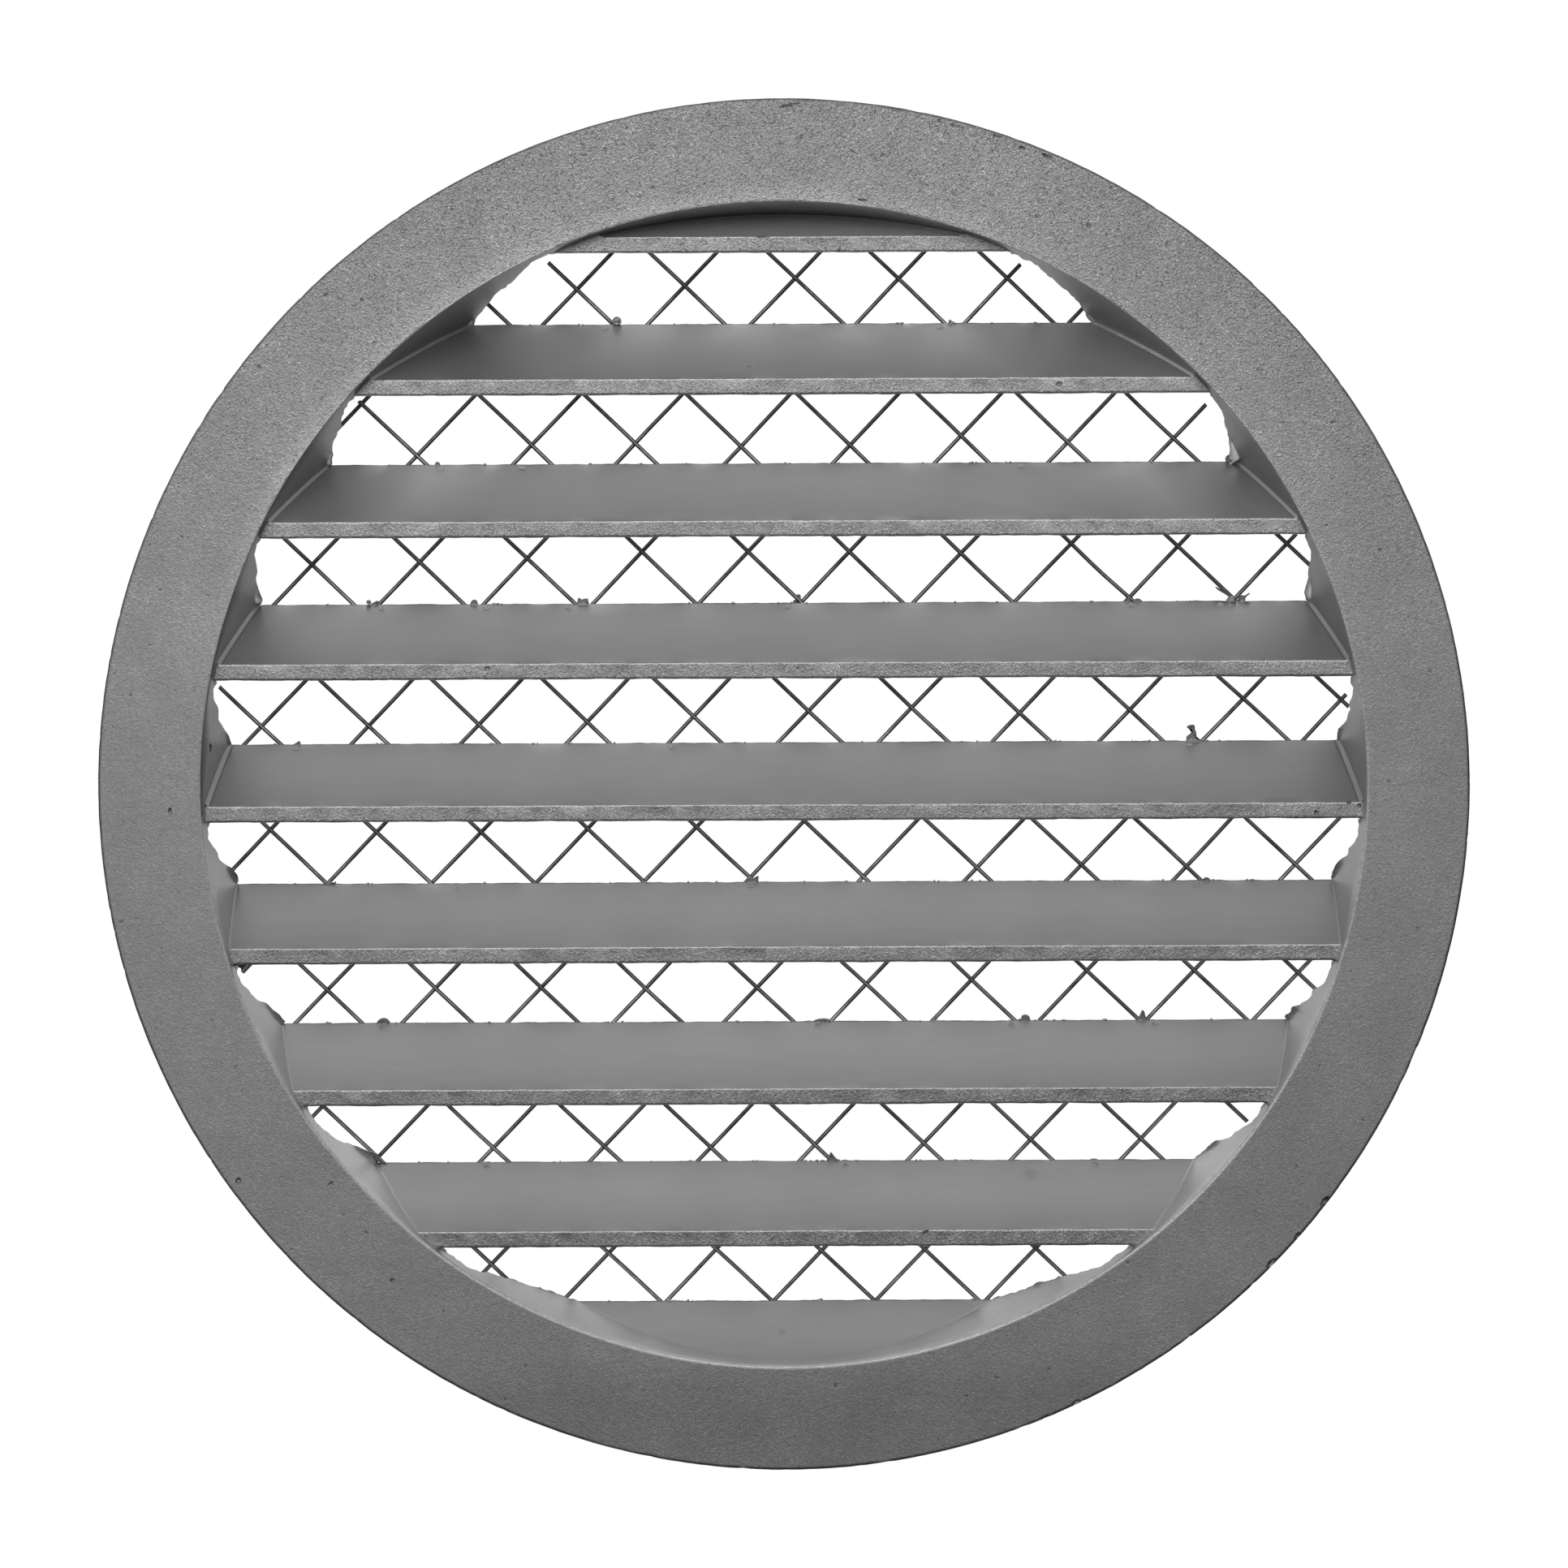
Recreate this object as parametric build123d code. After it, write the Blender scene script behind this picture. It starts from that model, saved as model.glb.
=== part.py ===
from build123d import *
import os
from math import cos, sin, tan, radians, sqrt, atan2, degrees

# Round louvred vent grille: one cast body (flange, duct spigot and nine fixed
# sloping blades) with a welded wire screen staked behind the blades.
# Frame: spigot axis on Y, wall face of the flange at y = 0, the weather face
# looks along -Y, +Z up.  Millimetres.

# ---------------------------------------------------------------- dimensions
FLANGE_R = 113.0        # outer radius of the flange
FLANGE_T = 3.5          # flange thickness
FLANGE_EDGE = 0.6       # rounding of the outer front edge
OPEN_R = 96.0           # radius of the front opening, at the weather face
OPEN_DRAFT = 0.17       # narrowing of the front wall per mm of depth
OPEN_CHAMFER = 0.3      # broken edge of the opening

SPIGOT_R = 99.4         # outside of the spigot, slips into a 200 mm duct
SPIGOT_IN_R = 98.1      # inside of the spigot, behind the blades
SPIGOT_LEN = 17.0       # spigot length behind the flange

BLADES = 9
PITCH = 23.454          # vertical blade spacing
LIP_TOP = 90.37         # height of the first blade's lip
LIP_H = 2.57            # lip height
LIP_EDGE_TOP = 0.35     # rounding of the lip, upper edge
LIP_EDGE_LOW = 0.50     # rounding of the lip, lower edge
LIP_RECESS = 2.0        # lip face behind the weather face
BLADE_DEPTH = 12.49     # lip face to the blade's back edge
BLADE_RISE = 10.46      # lip top to the blade's back edge
BLADE_BACK_T = 1.8      # blade thickness at the back edge

WIRE_R = 0.35           # screen wire radius
SCREEN_R = 97.0         # cut radius of the screen disc
SCREEN_CX, SCREEN_CZ = -0.52, -0.63
SCREEN_GAP = 0.05       # screen clear of the blades' back corners
ANGLE_RISING = 46.01    # direction of the rear wires, from +X towards +Z
ANGLE_FALLING = -43.49  # direction of the front wires

# distances of the wires from the spigot axis, measured across each direction
RISING = [-95.81, -83.05, -70.30, -57.65, -44.45, -31.50, -18.95, -5.61,
          6.86, 20.34, 33.30, 45.79, 58.75, 71.54, 84.73]
FALLING = [-87.48, -74.92, -63.34, -49.22, -36.33, -24.45, -12.13,
           2.11, 15.06, 27.91, 40.84, 52.98, 65.05, 77.98, 92.66]
# wires that are cut a little short of the screen's edge: how far they reach
# along their direction, at the start and at the end
CUT_RISING = {-44.45: (-86.12, None), -31.50: (None, 90.89),
              6.86: (None, 95.46), 58.75: (None, 76.48)}
CUT_FALLING = {-36.33: (-89.13, None), 2.11: (-96.38, None), 52.98: (-80.51, None),
               -74.92: (None, 60.38), -12.13: (None, 95.83)}

STAKE_R = 0.65          # stakes cast on the blades' back edges
STAKE_HEAD_R = 1.5      # spread head behind the screen
STAKE_HEAD_T = 0.7
# stakes: (blade number counted from the top, starting at 0; distance along X)
STAKES = [(1, -28.4), (1, 27.2), (2, -58.6), (2, -43.8), (2, 40.1),
          (3, -69.6), (3, -52.3), (3, -34.0), (3, 2.7), (3, 59.5), (3, 75.8),
          (4, -82.5), (4, 68.5), (4, -20.0),
          (5, -5.1), (5, 70.4), (5, -55.0),
          (6, -67.7), (6, 6.2), (6, 40.6), (6, 60.8),
          (7, 8.2), (7, -50.2), (7, 52.0)]

# ------------------------------------------------------------ derived places
FRONT = -FLANGE_T
LIP_Y = FRONT + LIP_RECESS
BACK_Y = LIP_Y + BLADE_DEPTH
SLOPE = atan2(BLADE_RISE, BLADE_DEPTH)
CORNER_Y = BACK_Y + BLADE_BACK_T * sin(SLOPE)
CORNER_DZ = BLADE_RISE - BLADE_BACK_T * cos(SLOPE)
FRONT_WIRE_Y = CORNER_Y + SCREEN_GAP + WIRE_R
REAR_WIRE_Y = FRONT_WIRE_Y + 2 * WIRE_R     # crossing wires touch where they are welded
FAR = 125.0


def lip_top(i):
    return LIP_TOP - i * PITCH


def prism(points):
    """A closed outline in Y and Z carried across the whole width."""
    face = make_face(Polyline(*[(y, z) for y, z in points], close=True))
    return extrude(Plane.YZ * face, amount=FAR, both=True)


def turned(points):
    """A closed outline in radius and Y turned about the Y axis."""
    face = make_face(Polyline(*[(r, y) for r, y in points], close=True))
    return revolve(face, axis=Axis.Y, revolution_arc=360)


def rounding(cy, cz, r, a0, a1, steps=4):
    return [(cy + r * cos(radians(a0 + (a1 - a0) * k / steps)),
             cz + r * sin(radians(a0 + (a1 - a0) * k / steps)))
            for k in range(steps + 1)]


# ------------------------------------------------------------- front cavity
# Seen from the front the cavity ends on the blade faces, the lips, and in the
# gaps on the planes from each lip's lower edge to the next blade's back edge.
front = [(FRONT - 6, FAR), (LIP_Y + (FAR - LIP_TOP) / tan(SLOPE), FAR)]
for i in range(BLADES):
    z = lip_top(i)
    if i > 0:
        front.append((BACK_Y, z + BLADE_RISE))
    if i < BLADES - 1:
        # upper lip edge: tangent to the sloping face and to the lip face
        half = (radians(90) + SLOPE) / 2
        run = LIP_EDGE_TOP / tan(half)
        front += rounding(LIP_Y + LIP_EDGE_TOP, z - run,
                          LIP_EDGE_TOP, 90 + degrees(SLOPE), 180)
        front += rounding(LIP_Y + LIP_EDGE_LOW, z - LIP_H + LIP_EDGE_LOW,
                          LIP_EDGE_LOW, 180, 270)
    else:
        front.append((LIP_Y - (FAR + z) / tan(SLOPE), -FAR))
front.append((FRONT - 6, -FAR))
front = [p for k, p in enumerate(front)
         if k == 0 or abs(p[0] - front[k - 1][0]) + abs(p[1] - front[k - 1][1]) > 1e-6]
if front[-2][0] < front[-1][0]:
    front.pop()

front_bore = turned([
    (0, FRONT - 5), (OPEN_R + OPEN_CHAMFER, FRONT - 5),
    (OPEN_R + OPEN_CHAMFER, FRONT),
    (OPEN_R - OPEN_CHAMFER * OPEN_DRAFT, FRONT + OPEN_CHAMFER),
    (OPEN_R - OPEN_DRAFT * (20 - FRONT), 20), (0, 20)])

# -------------------------------------------------------------- rear cavity
rear = [(60, FAR)]
z = lip_top(0)
under = (CORNER_Y - (LIP_Y + LIP_EDGE_LOW), CORNER_DZ + LIP_H)
rear.append((LIP_Y + LIP_EDGE_LOW + (FAR - z + LIP_H) * under[0] / under[1], FAR))
for i in range(BLADES):
    z = lip_top(i)
    if i > 0:
        rear += [(BACK_Y, z + BLADE_RISE), (CORNER_Y, z + CORNER_DZ)]
    if i < BLADES - 1:
        rear.append((LIP_Y + LIP_EDGE_LOW, z - LIP_H))
    else:
        t = (FAR + z + CORNER_DZ) / under[1]
        rear.append((CORNER_Y - under[0] * t, -FAR))
rear.append((60, -FAR))

rear_bore = turned([(0, -3), (SPIGOT_IN_R, -3), (SPIGOT_IN_R, 0.5),
                    (SPIGOT_IN_R + 0.15, SPIGOT_LEN + 5), (0, SPIGOT_LEN + 5)])

# ------------------------------------------------------------------- casting
e = FLANGE_EDGE
blank = turned(
    [(0, FRONT)]
    + [(FLANGE_R - e + e * sin(radians(a)), FRONT + e - e * cos(radians(a)))
       for a in (0, 22.5, 45, 67.5, 90)]
    + [(FLANGE_R, -0.4), (FLANGE_R - 0.4, 0),
       (SPIGOT_R, 0), (SPIGOT_R, SPIGOT_LEN - 0.4), (SPIGOT_R - 0.4, SPIGOT_LEN), (0, SPIGOT_LEN)])

casting = blank - (prism(front) & front_bore)
casting = casting - (prism(rear) & rear_bore)


# -------------------------------------------------------------- wire screen
def wire(angle, offset, y, cuts):
    """One straight wire, cut off at the screen's edge or short of it."""
    c, s = cos(radians(angle)), sin(radians(angle))
    # points of the line: offset * (s, -c) + v * (c, s)
    across = SCREEN_CX * s - SCREEN_CZ * c
    along = SCREEN_CX * c + SCREEN_CZ * s
    h = sqrt(SCREEN_R ** 2 - (offset - across) ** 2)
    low, high = cuts.get(offset, (None, None))
    a = along - h if low is None else low
    b = along + h if high is None else high
    start = (offset * s + a * c, y, -offset * c + a * s)
    plane = Plane(origin=start, x_dir=(0, 1, 0), z_dir=(c, 0, s))
    return plane * Cylinder(WIRE_R, b - a, align=(Align.CENTER, Align.CENTER, Align.MIN))


def distance(x, z):
    """Clear distance in the X-Z plane from a point to the nearest wire axis."""
    best = 1e9
    for angle, rows in ((ANGLE_RISING, RISING), (ANGLE_FALLING, FALLING)):
        c, s = cos(radians(angle)), sin(radians(angle))
        for offset in rows:
            best = min(best, abs(x * s - z * c - offset))
    return best


wires = [wire(ANGLE_RISING, u, REAR_WIRE_Y, CUT_RISING) for u in RISING]
wires += [wire(ANGLE_FALLING, u, FRONT_WIRE_Y, CUT_FALLING) for u in FALLING]
# every wire is a solid of its own, touching the wires it is welded to
screen = Compound(children=wires)

# ------------------------------------------------------------------- stakes
head_y = REAR_WIRE_Y + WIRE_R + 0.05
stakes = []
for i, x0 in STAKES:
    z0 = lip_top(i) + BLADE_RISE - 0.75
    # the stake stands in the mesh cell, as near to the wanted place as the wires allow
    for k in range(60):
        x = x0 + (0.1 * ((k + 1) // 2)) * (1 if k % 2 else -1)
        if distance(x, z0) > STAKE_R + WIRE_R + 0.08:
            break
    else:
        raise ValueError("no room for a stake")
    shank = Plane(origin=(x, BACK_Y - 1.2, z0), x_dir=(1, 0, 0), z_dir=(0, 1, 0)) * Cylinder(
        STAKE_R, head_y + 0.3 - BACK_Y + 1.2, align=(Align.CENTER, Align.CENTER, Align.MIN))
    head = Plane(origin=(x, head_y, z0), x_dir=(1, 0, 0), z_dir=(0, 1, 0)) * Cylinder(
        STAKE_HEAD_R, STAKE_HEAD_T, align=(Align.CENTER, Align.CENTER, Align.MIN))
    stakes += [shank, head]
    print("stake", i, round(x, 2), round(z0, 2))
casting = casting.fuse(*stakes)

print("blade slope", round(degrees(SLOPE), 2), "back", round(BACK_Y, 2), "corner", round(CORNER_Y, 2),
      "wires", round(FRONT_WIRE_Y, 3), round(REAR_WIRE_Y, 3))

os.makedirs("parts", exist_ok=True)
for name, shape in (("louvre_casting", casting), ("wire_screen", screen)):
    solids = shape.solids()
    print(name, len(solids), "solids", round(sum(s.volume for s in solids), 1), "mm3")
    body = solids[0] if len(solids) == 1 else Compound(children=list(solids))
    body.label = name
    export_step(body, f"parts/{name}.step")
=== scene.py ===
import math
import random

import bmesh
import bpy
import numpy as np
from mathutils import Euler, Matrix
from mathutils.kdtree import KDTree


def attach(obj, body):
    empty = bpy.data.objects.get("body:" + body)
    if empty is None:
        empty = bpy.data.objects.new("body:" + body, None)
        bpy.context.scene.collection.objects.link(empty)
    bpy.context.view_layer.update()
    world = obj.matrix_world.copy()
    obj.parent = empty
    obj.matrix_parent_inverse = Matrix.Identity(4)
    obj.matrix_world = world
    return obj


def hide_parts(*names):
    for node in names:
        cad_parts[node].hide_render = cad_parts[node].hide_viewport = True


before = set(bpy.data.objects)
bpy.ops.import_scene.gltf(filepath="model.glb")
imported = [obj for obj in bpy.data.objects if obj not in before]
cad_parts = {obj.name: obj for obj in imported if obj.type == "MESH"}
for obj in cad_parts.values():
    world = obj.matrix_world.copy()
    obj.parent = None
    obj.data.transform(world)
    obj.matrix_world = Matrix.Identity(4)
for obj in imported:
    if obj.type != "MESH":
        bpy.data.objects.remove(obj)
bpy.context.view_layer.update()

scene = bpy.context.scene
MM = 0.001

# ---------------------------------------------------------------- dimensions
# millimetres, in the same frame as the solids: weather face along -Y, +Z up
FLANGE_R, FLANGE_T, FLANGE_EDGE = 113.0, 3.5, 0.35
OPEN_R, OPEN_DRAFT = 96.0, 0.17
SPIGOT_R, SPIGOT_IN_R, SPIGOT_LEN = 99.4, 98.1, 17.0
BLADES, PITCH, LIP_TOP, LIP_H = 9, 23.454, 90.37, 2.57
LIP_EDGE_TOP, LIP_EDGE_LOW, LIP_RECESS = 0.35, 0.32, 2.0
BLADE_DEPTH, BLADE_RISE, BLADE_BACK_T = 12.49, 10.46, 1.8
WIRE_R, WIRE_PINCH = 0.35, 0.08
SCREEN_R, SCREEN_CX, SCREEN_CZ, SCREEN_GAP = 97.0, -0.52, -0.63, 0.05
ANGLE_RISING, ANGLE_FALLING = 46.01, -43.49
RISING = [-95.81, -83.05, -70.30, -57.65, -44.45, -31.50, -18.95, -5.61,
          6.86, 20.34, 33.30, 45.79, 58.75, 71.54, 84.73]
FALLING = [-87.48, -74.92, -63.34, -49.22, -36.33, -24.45, -12.13,
           2.11, 15.06, 27.91, 40.84, 52.98, 65.05, 77.98, 92.66]
# wires cut a little short: how far they reach along their direction, start and end
CUT_RISING = {-44.45: (-86.12, None), -31.50: (None, 90.89),
              6.86: (None, 95.46), 58.75: (None, 76.48)}
CUT_FALLING = {-36.33: (-89.13, None), 2.11: (-96.38, None), 52.98: (-80.51, None),
               -74.92: (None, 60.38), -12.13: (None, 95.83)}

FRONT = -FLANGE_T
LIP_Y = FRONT + LIP_RECESS
BACK_Y = LIP_Y + BLADE_DEPTH
SLOPE = math.atan2(BLADE_RISE, BLADE_DEPTH)
CORNER_Y = BACK_Y + BLADE_BACK_T * math.sin(SLOPE)
CORNER_DZ = BLADE_RISE - BLADE_BACK_T * math.cos(SLOPE)
APEX_Y = LIP_Y + LIP_EDGE_LOW
FRONT_WIRE_Y = CORNER_Y + SCREEN_GAP + WIRE_R
REAR_WIRE_Y = FRONT_WIRE_Y + 2 * WIRE_R - WIRE_PINCH
HELD_R = 98.8           # blades end here, inside the ring's metal


def lip_top(i):
    return LIP_TOP - i * PITCH


def wall_r(y):
    """Radius of the drafted wall in front of the parting line."""
    return OPEN_R - OPEN_DRAFT * (y - FRONT)


def wander(x, step, seed):
    """Smooth 1-D noise of unit size: random values every step, eased between."""
    x = np.asarray(x, float) / step
    r = np.random.RandomState(seed)
    table = r.uniform(-1, 1, 4096)
    k = np.floor(x).astype(int)
    f = x - k
    f = f * f * (3 - 2 * f)
    return table[k % 4096] * (1 - f) + table[(k + 1) % 4096] * f


def mesh_object(name, verts, faces):
    me = bpy.data.meshes.new(name)
    me.from_pydata([tuple(v) for v in np.asarray(verts, float) * MM], [], faces)
    me.update()
    ob = bpy.data.objects.new(name, me)
    scene.collection.objects.link(ob)
    bm = bmesh.new()
    bm.from_mesh(me)
    bmesh.ops.recalc_face_normals(bm, faces=bm.faces)
    bm.to_mesh(me)
    bm.free()
    return ob


MARKS = []              # (points, values): painted highlights on edges (+) and painted shade on edges, fins, burrs and pits (-)


def mark(points, value):
    points = np.asarray(points, float).reshape(-1, 3)
    MARKS.append((points, np.broadcast_to(np.asarray(value, float), len(points))))


# -------------------------------------------------------------- parting line
zs, yf = [], []
for i in range(BLADES - 1, -1, -1):
    z = lip_top(i)
    zs += [z - LIP_H, z - LIP_H + LIP_EDGE_LOW, z, z + BLADE_RISE]
    yf += [APEX_Y, LIP_Y, LIP_Y, BACK_Y]
FRONT_Z, FRONT_YS = np.array(zs), np.array(yf)
zs, yf = [], []
for i in range(BLADES - 1, -1, -1):
    z = lip_top(i)
    zs += [z - LIP_H, z + CORNER_DZ, z + BLADE_RISE]
    yf += [APEX_Y, CORNER_Y, BACK_Y]
REAR_Z, REAR_YS = np.array(zs), np.array(yf)


def front_y(z):
    """Depth of the front cavity's end at height z: blade faces, lips and parting planes."""
    low = LIP_Y + (z - lip_top(BLADES - 1)) / math.tan(SLOPE)
    y = np.interp(z, FRONT_Z, FRONT_YS)
    return np.where(z < lip_top(BLADES - 1) + BLADE_RISE, low, y)


def rear_y(z):
    return np.interp(z, REAR_Z, REAR_YS)


# How far the ragged parting edge of the side wall stands inwards (+) or back
# outwards (-) of the straight parting plane, mm, from the lip above (first) to
# the blade below (last).  One row for each gap, left and right.
FLASH_T = [0.02, 0.10, 0.18, 0.26, 0.34, 0.42, 0.50, 0.58, 0.66, 0.74, 0.82, 0.90, 0.98]
FLASH = {
    (0, -1): [-1.2, -1.1, -.95, -.66, -.46, -.40, -.41, -.47, -.46, -.31, -.19, .05, .50],
    (0, 1): [0.25, -.22, -.50, -.60, -.44, -.40, -.44, -.45, -.46, -.42, -.16, .22, .42],
    (1, -1): [0.20, -.34, -.60, -.65, -.50, .05, -.35, -.31, -.44, -.20, .24, .53, .70],
    (1, 1): [0.25, -.11, -.42, -.68, -.46, -.12, -.04, .04, .24, .52, .70, 1.22, 1.60],
    (2, -1): [0.20, -.36, -.66, -.78, -.60, -.28, -.14, -.37, -.09, .37, .61, .80, .60],
    (2, 1): [0.28, -.05, -.32, -.64, -.62, -.28, -.09, .14, .09, .56, .80, .66, .57],
    (3, -1): [0.35, -.34, -.64, -.84, -.69, -.40, -.40, -.69, -.50, -.15, .25, .40, .35],
    (3, 1): [0.30, 0.0, -.30, -.59, -.69, -.40, -.55, -.50, -.60, -.20, .45, .45, .25],
    (4, -1): [0.40, -.30, -.60, -.88, -.75, -.50, -.40, -.66, -.40, .60, .80, .80, .45],
    (4, 1): [0.30, 0.0, -.30, -.60, -.70, -.45, -.25, -.35, .10, .59, .84, .59, .60],
    (5, -1): [0.50, -.24, -.57, -.85, -.89, -.65, -.56, -.42, .14, .32, .69, .73, .75],
    (5, 1): [0.35, -.05, -.33, -.66, -.84, -.56, -.05, -.56, -.28, .09, .78, .50, .70],
    (6, -1): [0.60, -.21, -.35, -.77, -.98, -.92, -.79, -.55, -.04, .34, .75, .80, .60],
    (6, 1): [0.40, -.08, -.37, -.69, -.88, -.60, -.47, -.43, .08, .65, .53, .19, .11],
    (7, -1): [0.60, -.15, -.46, -.78, -.86, -.40, -.30, .05, -.02, .25, .38, .10, 0.0],
    (7, 1): [0.4, -0.09, -0.37, -0.69, -0.86, -0.63, -0.38, 0.05, 0.27, 0.45, 0.21, 0.16, 0.17],
}


# ---------------------------------------------------------------------- ring
def build_ring(count=1200):
    # closer steps around the ragged gap edges at the left and right
    a = np.linspace(0, 2 * math.pi, 40001)
    dense = 0.75 + 1.0 * (np.abs(np.cos(a)) > 0.36)
    c = np.concatenate([[0], np.cumsum((dense[1:] + dense[:-1]) / 2)])
    phi = np.interp(np.linspace(0, c[-1], count + 1)[:-1], c, a)
    sn, cs = np.sin(phi), np.cos(phi)

    # where the drafted wall runs into the blades or the parting planes
    grid = np.arange(FRONT, 14.0, 0.02)
    r = wall_r(grid)
    g = grid[None, :] - front_y(r[None, :] * sn[:, None])
    first = np.argmax(g >= 0, axis=1)
    y_end = grid[first]
    z_end = wall_r(y_end) * sn
    dev = np.zeros(count)
    gap = np.zeros(count, bool)
    for k in range(BLADES - 1):
        top, low = lip_top(k) - LIP_H, lip_top(k + 1) + BLADE_RISE
        t = (top - z_end) / (top - low)
        for side in (-1, 1):
            m = (t > 0) & (t < 1) & (np.sign(cs) == side)
            dev[m] = np.interp(t[m], FLASH_T, FLASH[(k, side)])
            gap |= m
    ragged = 0.10 * wander(phi * 95, 1.2, 5) + 0.15 * wander(phi * 95, 0.6, 6)
    dev = np.where(gap, dev + ragged, 0.0)
    y_tip = np.where(gap, y_end + np.minimum(dev, 0) / 0.307, y_end + 0.25)
    y_tip = np.maximum(y_tip, np.minimum(y_end, FRONT + 1.3))
    r_tip = wall_r(y_tip) - np.maximum(dev, 0)
    y_rear = rear_y(SPIGOT_IN_R * sn) - np.where(gap, 0.0, 0.25)
    y_rear = np.maximum(y_rear, y_tip + 0.15)

    one = np.ones(count)
    edge = 0.22 - 0.12 * np.clip(sn * 3, 0, 1)      # broken edge of the opening, crisper at the top
    rows = []                       # (radius, y) arrays around the section

    def add(rad, y):
        rows.append((rad * one, y * one))

    # weather face, slightly uneven, from the opening to the outer edge
    for f in (0.0, 0.020, 0.2, 0.4, 0.6, 0.8, 0.985, 1.0):
        rad = OPEN_R + edge + f * (FLANGE_R - FLANGE_EDGE - OPEN_R - edge)
        add(rad, FRONT + 0.025 + 0.02 * wander(phi * rad, 14, 31 + round(f * 5)))
    nick = np.clip(wander(phi * 113, 1.7, 77) - 0.70, 0, 1) * 0.7 + 0.05 * (1 + wander(phi * 113, 1.1, 78))
    for ang in (25, 50, 72, 90):
        q = math.radians(ang)
        e = FLANGE_EDGE
        add(FLANGE_R - e + e * math.sin(q) - nick * math.sin(q) * 0.5,
            FRONT + e - e * math.cos(q) + nick * math.cos(q) * 0.5)
    add(FLANGE_R, -1.4)
    add(FLANGE_R, -0.4)
    add(FLANGE_R - 0.12, -0.12)
    add(FLANGE_R - 0.4, 0)
    add(FLANGE_R - 5, 0)
    add(SPIGOT_R + 0.5, 0)
    add(SPIGOT_R + 0.14, 0.14)
    add(SPIGOT_R, 0.5)
    add(SPIGOT_R, 8)
    add(SPIGOT_R, SPIGOT_LEN - 0.4)
    add(SPIGOT_R - 0.12, SPIGOT_LEN - 0.12)
    add(SPIGOT_R - 0.4, SPIGOT_LEN)
    add(SPIGOT_IN_R + 0.4, SPIGOT_LEN)
    add(SPIGOT_IN_R + 0.15, SPIGOT_LEN - 0.25)
    for f in (0.25, 0.5, 0.75):
        rows.append((SPIGOT_IN_R + 0.15 * (1 - f) * one, SPIGOT_LEN - 0.25 + f * (y_rear - SPIGOT_LEN + 0.25)))
    rows.append((SPIGOT_IN_R * one, y_rear))
    # ledge on the parting plane, then the thin ragged edge itself
    rows.append((0.5 * (SPIGOT_IN_R + r_tip), 0.5 * (y_rear + y_tip + 0.2)))
    rows.append((r_tip + 0.10, y_tip + 0.20))
    rows.append((r_tip, y_tip + 0.10))
    rows.append((r_tip + 0.02, y_tip))
    # drafted wall back to the weather face
    fin = np.clip(dev, 0, 2)
    y1 = np.maximum(y_tip - 0.24 - 0.3 * fin, FRONT + edge + 0.6)
    rows.append((wall_r(y1) - fin * (1 - (0.24 + 0.3 * fin) / (0.6 + 0.7 * fin)), y1))
    fin_row = len(rows) - 1
    y2 = np.maximum(y_tip - 0.6 - 0.7 * fin, FRONT + edge + 0.45)
    rows.append((wall_r(y2), y2))
    for f in (0.35, 0.7):
        yy = y2 + f * (FRONT + edge + 0.1 - y2)
        rows.append((wall_r(yy), yy))
    add(wall_r(FRONT + edge), FRONT + edge)
    add(OPEN_R + 0.25 * edge, FRONT + 0.025 + 0.25 * edge)
    tip_rows = [k for k, (rad, y) in enumerate(rows) if np.allclose(y - y_tip, 0.1) or np.allclose(y, y_tip)
                or np.allclose(y - y_tip, 0.2)]

    n = len(rows)
    verts = np.zeros((count, n, 3))
    for j, (rad, y) in enumerate(rows):
        verts[:, j, 0], verts[:, j, 1], verts[:, j, 2] = rad * cs, y, rad * sn
    # painted shade: the ragged parting edges in the gaps are painted dark
    for j in tip_rows:
        mark(verts[:, j], np.where(gap, -0.85, 0.0))
    # painted shade: the fins in the gaps, and the drafted wall at the very top of the opening, painted darker
    crown = np.clip(12 * sn - 11.2, 0, 1) * ~gap
    mark(verts[:, fin_row], np.where(gap, -0.5 * np.clip(2.0 * fin, 0, 1), -1.0 * crown))
    mark(verts[:, fin_row + 1], -0.75 * crown)
    # painted shade along the outer edge of the weather face and over its rounded outer edge
    for j, v in ((7, -0.55), (8, -1.0), (9, -1.0), (10, -1.0), (11, -0.8)):
        mark(verts[:, j], v)
    # painted highlight on the opening's edge, strongest along the top and upper left; its broken inner edge painted
    # light in the lower half and painted shade at the upper left
    rim = np.where(sn < -0.05, 0.9, 0.45 - np.clip(-2.4 * cs - 1.0, 0, 1.2))
    bright = np.clip(3 * sn - 0.6, 0, 1) * np.clip(1.1 - 1.6 * cs, 0.25, 1)
    mark(verts[:, 0], 0.35 + 1.8 * bright)
    mark(verts[:, 1], 0.9 * bright)
    for j in (n - 1, n - 2):
        mark(verts[:, j], rim)
    idx = np.arange(count * n).reshape(count, n)
    a0, a1 = idx, np.roll(idx, -1, 0)
    b0, b1 = np.roll(idx, -1, 1), np.roll(np.roll(idx, -1, 0), -1, 1)
    faces = np.stack([a0, a1, b1, b0], -1).reshape(-1, 4).tolist()
    return mesh_object("ring", verts.reshape(-1, 3), faces)


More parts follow.
